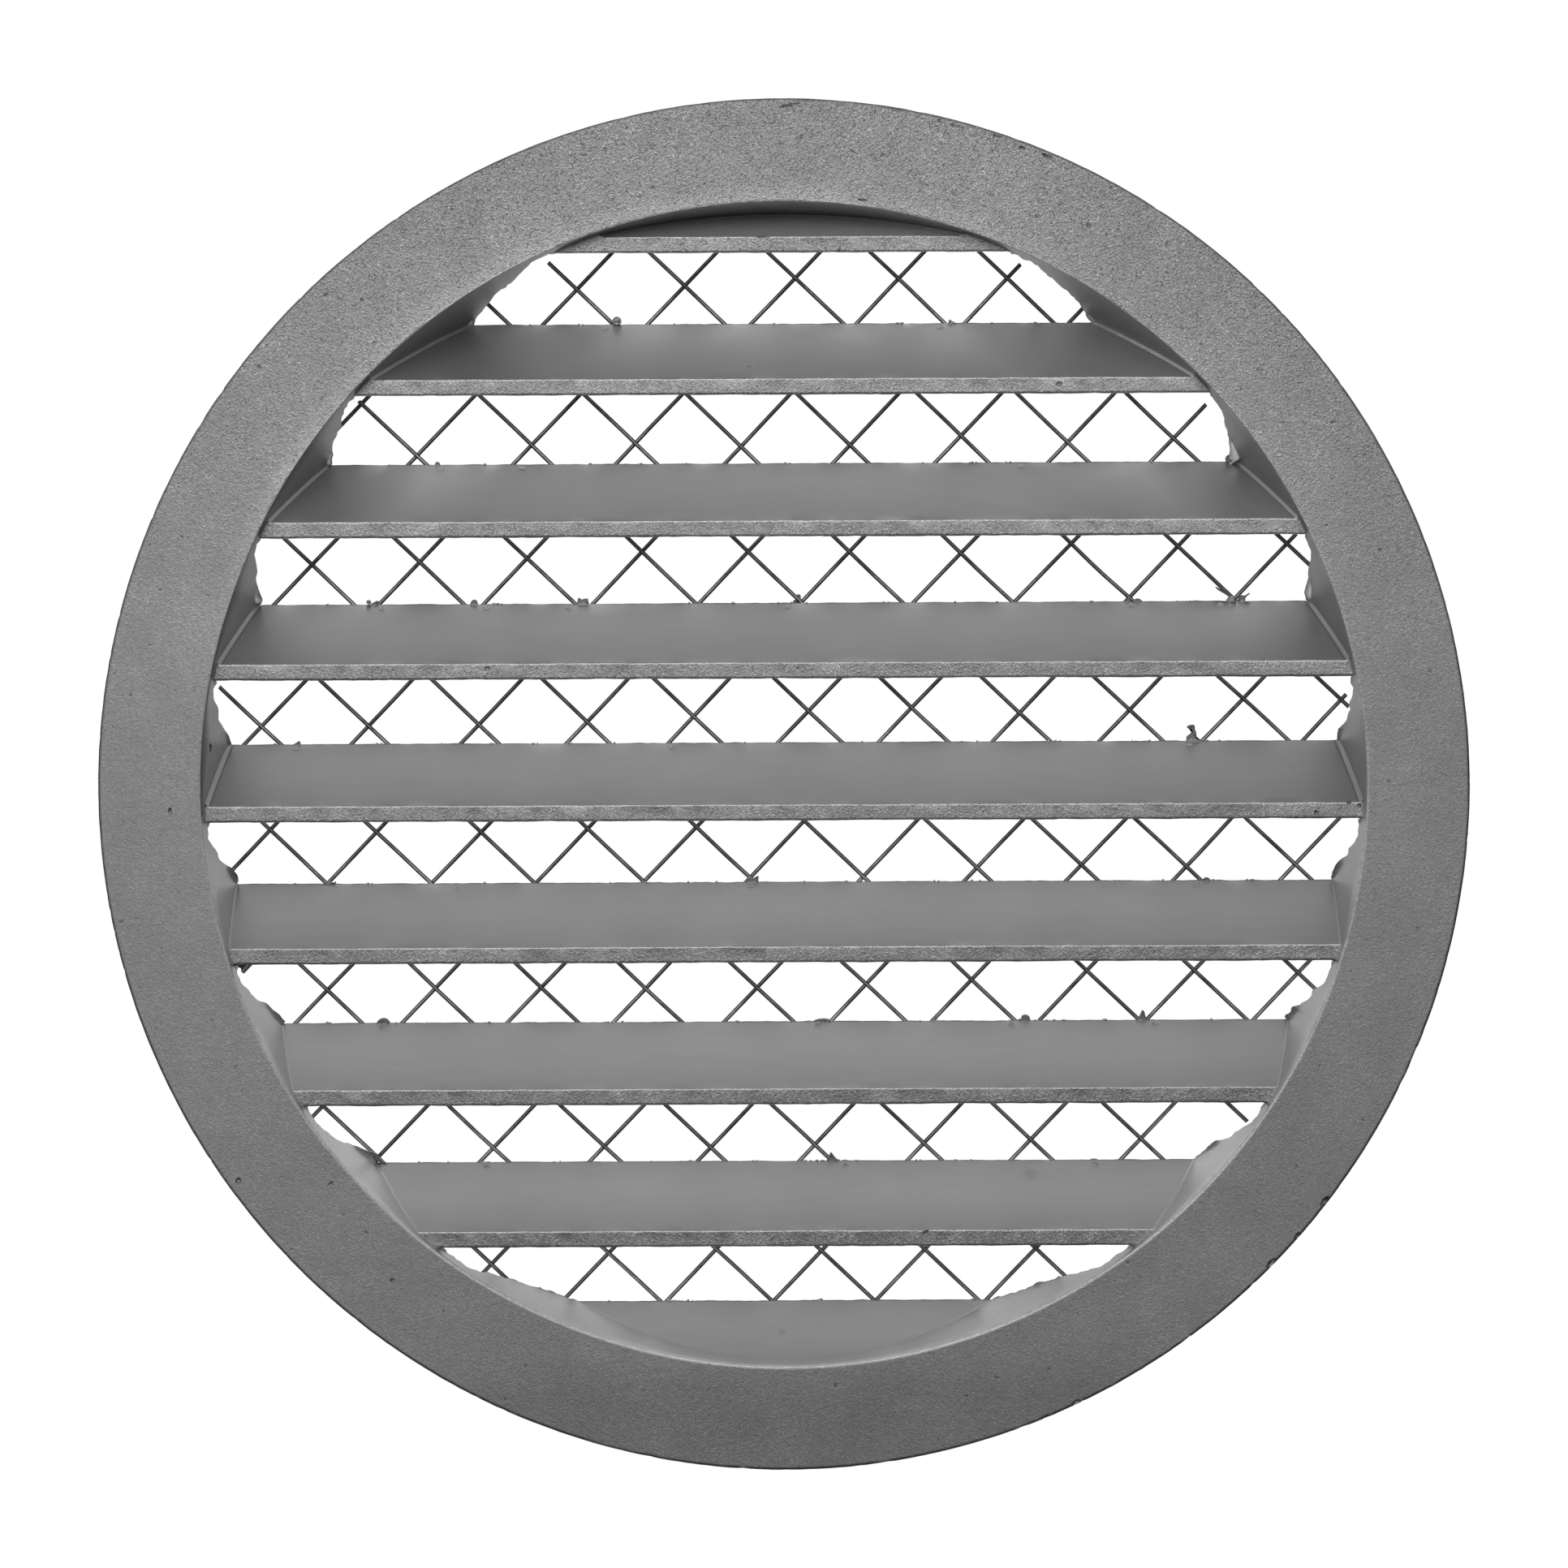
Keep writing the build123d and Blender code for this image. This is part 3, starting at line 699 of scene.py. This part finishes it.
BEND_FALLING = {
    -87.48: [(-29, -0.38), (5, 0.11), (36, -0.11)],
    -74.92: [(-42, -0.32), (-8, 0.23), (27, 0.25), (56, 0.24)],
    -63.34: [(-55, -0.06), (-21, 0.08), (14, 0.80), (49, -0.26)],
    -49.22: [(-70, -0.49), (-35, -0.07), (0, 0.55), (34, 0.19), (68, 0.05)],
    -36.33: [(-83, -0.46), (-49, -0.20), (-14, 0.33), (20, 0.42), (54, -0.05), (87, 0.14)],
    -24.45: [(-90, -0.22), (-62, -0.26), (-26, 0.12), (8, 0.36), (42, 0.02), (77, -0.07)],
    -12.13: [(-74, -0.39), (-39, 0.09), (-5, 0.36), (29, 0.12), (64, 0.06), (94, 0.07)],
    2.11: [(-90, -0.00), (-55, -0.17), (-20, 0.04), (14, 0.06), (48, 0.27), (83, 0.20)],
    15.06: [(-68, -0.24), (-34, 0.01), (1, 0.39), (35, -0.03), (69, 0.08)],
    27.91: [(-82, -0.35), (-48, 0.00), (-13, 0.27), (22, 0.18), (55, 0.03), (88, -0.01)],
    40.84: [(-61, -0.01), (-26, 0.05), (8, 0.26), (42, -0.17), (77, 0.02)],
    52.98: [(-74, 0.32), (-39, -0.07), (-5, 0.04), (29, 0.07), (64, -0.05)],
    65.05: [(-52, -0.12), (-18, 0.27), (16, 0.20), (51, -0.24)],
    77.98: [(-31, 0.04), (3, 0.28), (38, -0.26)],
    92.66: [(-15, 0.06)],
}


def build_wires(angle, rows, cuts, bends, y, seed):
    c, s = math.cos(math.radians(angle)), math.sin(math.radians(angle))
    across = SCREEN_CX * s - SCREEN_CZ * c
    along = SCREEN_CX * c + SCREEN_CZ * s
    verts, faces = [], []
    sides = 12
    rnd = random.Random(seed)
    for q, u in enumerate(rows):
        bend = bends.get(u, [(0.0, 0.0)])
        out = max([abs(u - across)] + [abs(u - across + d) for _, d in bend])
        h = math.sqrt(SCREEN_R ** 2 - out ** 2)
        low, high = cuts.get(u, (None, None))
        a = along - h if low is None else low
        b = along + h if high is None else high
        steps = max(6, int((b - a) / 3.0))
        v = np.linspace(a, b, steps + 1)
        w = np.interp(v, [p for p, _ in bend], [d for _, d in bend]) + 0.02 * wander(v, 9, seed + 50 + q)
        rad = np.full(len(v), WIRE_R)
        base = len(verts)
        tilt_a, tilt_b = rnd.uniform(-0.25, 0.25), rnd.uniform(-0.25, 0.25)
        for k in range(len(v)):
            for m in range(sides):
                t = 2 * math.pi * m / sides
                e1, e2 = rad[k] * math.cos(t), rad[k] * math.sin(t)
                vv = v[k]
                if k == 0:
                    vv += tilt_a * e1
                if k == len(v) - 1:
                    vv += tilt_b * e1
                uu = u + w[k] + e1
                verts.append((uu * s + vv * c, y + e2, -uu * c + vv * s))
        for k in range(len(v) - 1):
            for m in range(sides):
                p0 = base + k * sides + m
                p1 = base + k * sides + (m + 1) % sides
                faces.append((p0, p1, p1 + sides, p0 + sides))
        faces.append(tuple(base + m for m in range(sides))[::-1])
        last = base + (len(v) - 1) * sides
        faces.append(tuple(last + m for m in range(sides)))
    return mesh_object("wires", verts, faces)


screen = build_wires(ANGLE_RISING, RISING, CUT_RISING, BEND_RISING, REAR_WIRE_Y, 400)
falling = build_wires(ANGLE_FALLING, FALLING, CUT_FALLING, BEND_FALLING, FRONT_WIRE_Y, 600)
apply_boolean(screen, falling, "UNION")
screen.name = "wire_screen_mesh"
screen.data.name = "wire_screen_mesh"
for p in screen.data.polygons:
    p.use_smooth = True
screen.data.set_sharp_from_angle(angle=math.radians(45))


# ----------------------------------------------------------------- materials
def node(tree, kind, **values):
    n = tree.nodes.new(kind)
    for k, v in values.items():
        setattr(n, k, v)
    return n


def feed(tree, socket, value):
    """Sets a socket, or links it where the value is another socket."""
    if isinstance(value, bpy.types.NodeSocket):
        tree.links.new(value, socket)
    else:
        socket.default_value = value


def calc(tree, operation, a, b=0.0, c=0.0, clamp=False):
    n = node(tree, "ShaderNodeMath", operation=operation, use_clamp=clamp)
    for k, v in enumerate((a, b, c)):
        feed(tree, n.inputs[k], v)
    return n.outputs[0]


def span(tree, value, a, b, c=0.0, d=1.0, smooth=False):
    n = node(tree, "ShaderNodeMapRange", interpolation_type="SMOOTHSTEP" if smooth else "LINEAR")
    n.clamp = True
    for k, v in enumerate((value, a, b, c, d)):
        feed(tree, n.inputs[k], v)
    return n.outputs[0]


def millimetres(tree):
    """The object's own coordinates, in millimetres."""
    tc = node(tree, "ShaderNodeTexCoord")
    n = node(tree, "ShaderNodeVectorMath", operation="SCALE")
    tree.links.new(tc.outputs["Object"], n.inputs[0])
    n.inputs["Scale"].default_value = 1000.0
    return n.outputs[0]


def noise(tree, vector, scale, detail=2.0, rough=0.5, distortion=0.0):
    n = node(tree, "ShaderNodeTexNoise")
    n.inputs["Scale"].default_value = scale
    n.inputs["Detail"].default_value = detail
    n.inputs["Roughness"].default_value = rough
    n.inputs["Distortion"].default_value = distortion
    tree.links.new(vector, n.inputs["Vector"])
    return n.outputs[0]


def turned(tree, vector, degrees, length, width, shift=(0, 0, 0)):
    """Coordinates turned in the plane of the face and stretched along one direction."""
    n = node(tree, "ShaderNodeMapping", vector_type="TEXTURE")
    n.inputs["Location"].default_value = shift
    n.inputs["Rotation"].default_value = (0, math.radians(degrees), 0)
    n.inputs["Scale"].default_value = (length, 1.0, width)
    tree.links.new(vector, n.inputs["Vector"])
    return n.outputs[0]


def grey_colour(t, value, socket):
    grey = node(t, "ShaderNodeCombineColor")
    for k in range(3):
        feed(t, grey.inputs[k], value)
    t.links.new(grey.outputs[0], socket)


def cast_metal():
    """Bare die-cast aluminium: tumbled, grainy front faces and smooth as-cast blades and walls, with painted light
    and shade in its tone.
    """
    mat = bpy.data.materials.new("cast_aluminium")
    mat.use_nodes = True
    t = mat.node_tree
    bsdf = t.nodes["Principled BSDF"]
    bsdf.inputs["Metallic"].default_value = 1.0
    mm = millimetres(t)
    place = node(t, "ShaderNodeSeparateXYZ")
    t.links.new(mm, place.inputs[0])
    depth, up = place.outputs[1], place.outputs[2]
    flat = node(t, "ShaderNodeVectorMath", operation="MULTIPLY")
    t.links.new(mm, flat.inputs[0])
    flat.inputs[1].default_value = (1.0, 0.0, 1.0)
    reach = node(t, "ShaderNodeVectorMath", operation="LENGTH")
    t.links.new(flat.outputs[0], reach.inputs[0])
    radius = reach.outputs["Value"]
    geo = node(t, "ShaderNodeNewGeometry")
    xyz = node(t, "ShaderNodeSeparateXYZ")
    t.links.new(geo.outputs["Normal"], xyz.inputs[0])
    facing = calc(t, "MULTIPLY", xyz.outputs[1], -1.0)
    front = span(t, facing, 0.72, 0.93, smooth=True)
    front = calc(t, "MAXIMUM", front, span(t, facing, -0.93, -0.72, 0.5, 0.0, smooth=True))
    upper = span(t, up, -80.0, 60.0, smooth=True)
    lip = span(t, depth, -2.6, -2.0)
    grain = calc(t, "MAXIMUM", span(t, up, 0.0, 108.0, smooth=True), calc(t, "MULTIPLY", lip, 0.6))
    # painted highlights (+) and painted shade (-) marked on the casting's vertices
    painted_light_shade = node(t, "ShaderNodeAttribute", attribute_name="painted_light_shade").outputs["Fac"]

    fine = noise(t, mm, 3.0, 2.0, 0.65)
    mid = noise(t, mm, 0.8, 2.0, 0.5)
    low = noise(t, mm, 0.055, 3.0, 0.55)
    patch = noise(t, mm, 0.13, 2.0, 0.5)

    def strokes(turns, length, width, lo, hi):
        best = None
        for deg, shift in turns:
            m = noise(t, turned(t, mm, deg, length, width, shift), 1.0, 1.0, 0.5)
            m = span(t, m, lo, hi, smooth=True)
            best = m if best is None else calc(t, "MAXIMUM", best, m)
        return best

    worms = strokes(((30, (3, 0, 1)), (55, (11, 0, 7)), (80, (23, 0, 5)), (145, (41, 0, 9))), 0.68, 0.27, 0.62, 0.72)
    darks = strokes(((42, (31, 0, 2)), (66, (7, 0, 17)), (140, (13, 0, 29))), 0.66, 0.26, 0.66, 0.74)
    streak = noise(t, turned(t, mm, 0, 9.0, 1.6), 1.0, 2.0, 0.5)
    cell = node(t, "ShaderNodeTexVoronoi", feature="F1", voronoi_dimensions="3D")
    cell.inputs["Scale"].default_value = 0.21
    t.links.new(mm, cell.inputs["Vector"])
    rag = calc(t, "MULTIPLY_ADD", calc(t, "SUBTRACT", mid, 0.5), 0.20, cell.outputs["Distance"])
    rag = calc(t, "MULTIPLY_ADD", calc(t, "SUBTRACT", fine, 0.5), 0.10, rag)
    pits = span(t, rag, 0.035, 0.075, 1.0, 0.0, smooth=True)

    height = calc(t, "MULTIPLY_ADD", mid, 0.25, fine)
    height = calc(t, "MULTIPLY_ADD", worms, 0.45, height)
    height = calc(t, "MULTIPLY_ADD", darks, -0.5, height)
    height = calc(t, "MULTIPLY_ADD", pits, -1.2, height)
    strength = calc(t, "MULTIPLY_ADD", front, span(t, grain, 0.0, 1.0, 0.12, 0.40), 0.03)
    bump = node(t, "ShaderNodeBump")
    bump.inputs["Distance"].default_value = 0.00020
    feed(t, bump.inputs["Strength"], strength)
    feed(t, bump.inputs["Height"], height)
    t.links.new(bump.outputs[0], bsdf.inputs["Normal"])

    tone = span(t, low, 0.3, 0.7, 0.58, 0.62)
    speckle = calc(t, "SUBTRACT", fine, 0.5)
    # front faces: grain, light strokes, dark scratches; the lips are painted lighter near the top and darker near
    # the bottom, as painted light and shade
    face = calc(t, "MULTIPLY", tone, calc(t, "MULTIPLY_ADD", lip, span(t, upper, 0.0, 1.0, -0.09, 0.08), 1.0))
    # painted shade: the weather face darker along its bottom
    face = calc(t, "MULTIPLY", face, span(t, up, -101.0, -93.0, 0.86, 1.0, smooth=True))
    # painted light and shade: in the upper part the face is a little lighter near the opening and darker towards its
    # outer edge
    rim = calc(t, "MULTIPLY_ADD", calc(t, "MULTIPLY", upper, span(t, radius, 97.0, 111.0, -0.02, 0.06)), -1.0, 1.0)
    face = calc(t, "MULTIPLY", face, rim)
    face = calc(t, "MULTIPLY_ADD", speckle, span(t, grain, 0.0, 1.0, 0.29, 0.42), face)
    face = calc(t, "MULTIPLY_ADD", worms, calc(t, "MULTIPLY", span(t, grain, 0.0, 1.0, 0.09, 0.30), span(t, patch, 0.38, 0.62, 0.6, 1.25)), face)
    face = calc(t, "MULTIPLY_ADD", darks, span(t, grain, 0.0, 1.0, -0.11, -0.24), face)
    face = calc(t, "MULTIPLY_ADD", pits, -0.20, face)
    face = calc(t, "MULTIPLY_ADD", calc(t, "SUBTRACT", patch, 0.5), 0.09, face)
    # blades and walls: smooth, faint streaks and a few soft spots, on a tone with painted light and shade set by
    # height and place
    # painted light: a lighter crown at the very top, and a level that changes with height
    crown = calc(t, "MULTIPLY", span(t, up, 86.0, 92.0, 0.0, 0.22), span(t, facing, -0.05, 0.05))
    painted_light_level = calc(t, "ADD", span(t, up, -10.0, 12.0, 1.05, 1.15), span(t, up, 35.0, 48.0, 0.0, -0.05))
    painted_light_level = calc(t, "ADD", painted_light_level, crown)
    # painted light on the ends of the upper blades towards the walls, a little darker on the right; painted light
    # and shade on the walls: lighter low down, darker high up and at the very bottom
    ends = calc(t, "MULTIPLY", span(t, radius, 66.0, 92.0, smooth=True), span(t, up, 15.0, 48.0, 0.0, 0.85))
    walls = calc(t, "MULTIPLY", span(t, up, -20.0, 35.0, 1.12, 0.60), span(t, up, -96.0, -62.0, 0.56, 0.99))
    wall = span(t, facing, 0.30, 0.50, 1.0, 0.0)
    ends = calc(t, "MULTIPLY", calc(t, "ADD", ends, 1.0), span(t, place.outputs[0], 40.0, 88.0, 1.0, 0.90))
    painted_light_level = calc(t, "MULTIPLY", painted_light_level, calc(t, "MULTIPLY_ADD", calc(t, "SUBTRACT", walls, ends), wall, ends))
    side = calc(t, "MULTIPLY", tone, painted_light_level)
    side = calc(t, "MULTIPLY_ADD", speckle, 0.05, side)
    side = calc(t, "MULTIPLY_ADD", calc(t, "SUBTRACT", streak, 0.5), 0.05, side)
    for spot, size, amount in (((41.1, 8.4, -65.5), 1.7, -0.09), ((-0.7, 5.5, -91.4), 0.9, -0.10)):
        d = node(t, "ShaderNodeVectorMath", operation="DISTANCE")
        t.links.new(mm, d.inputs[0])
        d.inputs[1].default_value = spot
        side = calc(t, "ADD", side, span(t, d.outputs["Value"], 0.3 * size, size, amount, 0.0, smooth=True))
    tone = calc(t, "MULTIPLY_ADD", calc(t, "SUBTRACT", face, side), front, side)
    # painted highlights on edges and painted shade on edges, fins, burrs and pits
    painted_highlight = calc(t, "MULTIPLY", calc(t, "MAXIMUM", painted_light_shade, 0.0), span(t, mid, 0.35, 0.6, 0.15, 0.42))
    painted_shade = calc(t, "MULTIPLY", calc(t, "MINIMUM", painted_light_shade, 0.0), 0.74)
    tone = calc(t, "MULTIPLY", tone, calc(t, "ADD", calc(t, "ADD", painted_highlight, painted_shade), 1.0))
    grey_colour(t, calc(t, "MINIMUM", tone, 0.92), bsdf.inputs["Base Color"])
    rough = calc(t, "MULTIPLY_ADD", calc(t, "SUBTRACT", mid, 0.5), 0.10, 0.42)
    rough = calc(t, "MULTIPLY_ADD", front, 0.06, rough)
    t.links.new(rough, bsdf.inputs["Roughness"])
    return mat


def wire_metal():
    """Dull galvanised wire, painted lighter where it faces front or back as a painted highlight, and dark at its
    sides as painted shade.
    """
    mat = bpy.data.materials.new("galvanised_wire")
    mat.use_nodes = True
    t = mat.node_tree
    bsdf = t.nodes["Principled BSDF"]
    bsdf.inputs["Metallic"].default_value = 1.0
    mm = millimetres(t)
    geo = node(t, "ShaderNodeNewGeometry")
    xyz = node(t, "ShaderNodeSeparateXYZ")
    t.links.new(geo.outputs["Normal"], xyz.inputs[0])
    facing = calc(t, "ABSOLUTE", xyz.outputs[1])
    patch = noise(t, mm, 0.22, 2.0, 0.6)
    fine = noise(t, mm, 2.6, 2.0, 0.6)
    # painted highlight along the wire's front and back, patchy; its sides stay dark as painted shade
    painted_core_highlight = calc(t, "MULTIPLY", span(t, facing, 0.78, 0.97, smooth=True), span(t, patch, 0.36, 0.62, 0.30, 1.0))
    tone = calc(t, "MULTIPLY_ADD", painted_core_highlight, 0.62, 0.12)
    tone = calc(t, "MULTIPLY_ADD", calc(t, "SUBTRACT", fine, 0.5), 0.08, tone)
    grey_colour(t, tone, bsdf.inputs["Base Color"])
    feed(t, bsdf.inputs["Roughness"], span(t, fine, 0.3, 0.7, 0.30, 0.42))
    bump = node(t, "ShaderNodeBump")
    bump.inputs["Distance"].default_value = 0.00008
    bump.inputs["Strength"].default_value = 0.3
    feed(t, bump.inputs["Height"], fine)
    t.links.new(bump.outputs[0], bsdf.inputs["Normal"])
    return mat


casting.data.materials.clear()
casting.data.materials.append(cast_metal())
screen.data.materials.clear()
screen.data.materials.append(wire_metal())
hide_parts("louvre_casting")
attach(casting, "root")
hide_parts("wire_screen")
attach(screen, "root")

# ------------------------------------------------------- stage, light, camera
# Soft studio light all round: broad lobes (azimuth from the front, elevation,
# sharpness, strength), and a plain white backdrop behind the object.
LOBES = [
    (0, 36, 18.0, 2.489), (0, 14, 18.0, 0.267), (-40, 14, 18.0, 0.736),
    (105, 15, 5.0, 0.387), (-105, 15, 5.0, 0.364), (-105, -20, 5.0, 0.117),
    (180, 50, 5.0, 0.812), (180, 15, 5.0, 0.329), (180, -20, 5.0, 0.206), (180, -55, 5.0, 0.900),
]
world = bpy.data.worlds.new("studio")
scene.world = world
world.use_nodes = True
wt = world.node_tree
wt.nodes.clear()
out = node(wt, "ShaderNodeOutputWorld")
mix = node(wt, "ShaderNodeMixShader")
path = node(wt, "ShaderNodeLightPath")
white = node(wt, "ShaderNodeBackground")
white.inputs["Color"].default_value = (1, 1, 1, 1)
white.inputs["Strength"].default_value = 1.0
sky = node(wt, "ShaderNodeBackground")
sky.inputs["Color"].default_value = (1, 1, 1, 1)
way = node(wt, "ShaderNodeTexCoord").outputs["Generated"]
total = None
for k, (az, el, sharp, power) in enumerate(LOBES):
    az, el = math.radians(az), math.radians(el)
    dot = node(wt, "ShaderNodeVectorMath", operation="DOT_PRODUCT")
    wt.links.new(way, dot.inputs[0])
    dot.inputs[1].default_value = (math.sin(az) * math.cos(el), -math.cos(az) * math.cos(el), math.sin(el))
    e = calc(wt, "EXPONENT", calc(wt, "MULTIPLY", calc(wt, "SUBTRACT", dot.outputs["Value"], 1.0), sharp))
    part = node(wt, "ShaderNodeMath", operation="MULTIPLY", name="lobe_%d" % k)
    feed(wt, part.inputs[0], e)
    part.inputs[1].default_value = power
    total = part.outputs[0] if total is None else calc(wt, "ADD", total, part.outputs[0])
wt.links.new(total, sky.inputs["Strength"])
wt.links.new(path.outputs["Is Camera Ray"], mix.inputs[0])
wt.links.new(sky.outputs[0], mix.inputs[1])
wt.links.new(white.outputs[0], mix.inputs[2])
wt.links.new(mix.outputs[0], out.inputs[0])

# pale floor just under the object: white to the eye, it throws no light back
floor = bpy.data.objects.new("floor", bpy.data.meshes.new("floor"))
scene.collection.objects.link(floor)
floor.data.from_pydata([(-3, -3, -0.1136), (3, -3, -0.1136), (3, 3, -0.1136), (-3, 3, -0.1136)], [], [(0, 1, 2, 3)])
pale = bpy.data.materials.new("pale_floor")
pale.use_nodes = True
pale.node_tree.nodes.clear()
glow = node(pale.node_tree, "ShaderNodeEmission")
glow.inputs["Color"].default_value = (1, 1, 1, 1)
glow.inputs["Strength"].default_value = 1.0
end = node(pale.node_tree, "ShaderNodeOutputMaterial")
pale.node_tree.links.new(glow.outputs[0], end.inputs[0])
floor.data.materials.append(pale)
floor.visible_diffuse = False
floor.visible_glossy = False
floor.visible_transmission = False
floor.visible_volume_scatter = False
floor.visible_shadow = False

cam = bpy.data.objects.new("camera", bpy.data.cameras.new("camera"))
scene.collection.objects.link(cam)
DISTANCE = 684.0
cam.location = (0, (FRONT - DISTANCE) * MM, 0)
cam.rotation_euler = (math.radians(90), 0, 0)
cam.data.sensor_width = 36
cam.data.sensor_fit = "HORIZONTAL"
cam.data.lens = 36 * DISTANCE / (1932 * 0.13363)
cam.data.clip_start, cam.data.clip_end = 0.01, 50
cam.rotation_mode = "XYZ"
cam.rotation_euler = (Matrix.Rotation(math.radians(0.24), 3, "Y") @ Euler((math.radians(90), 0, 0)).to_matrix()).to_euler()
scene.camera = cam
scene.view_settings.view_transform = "Standard"
scene.view_settings.look = "None"
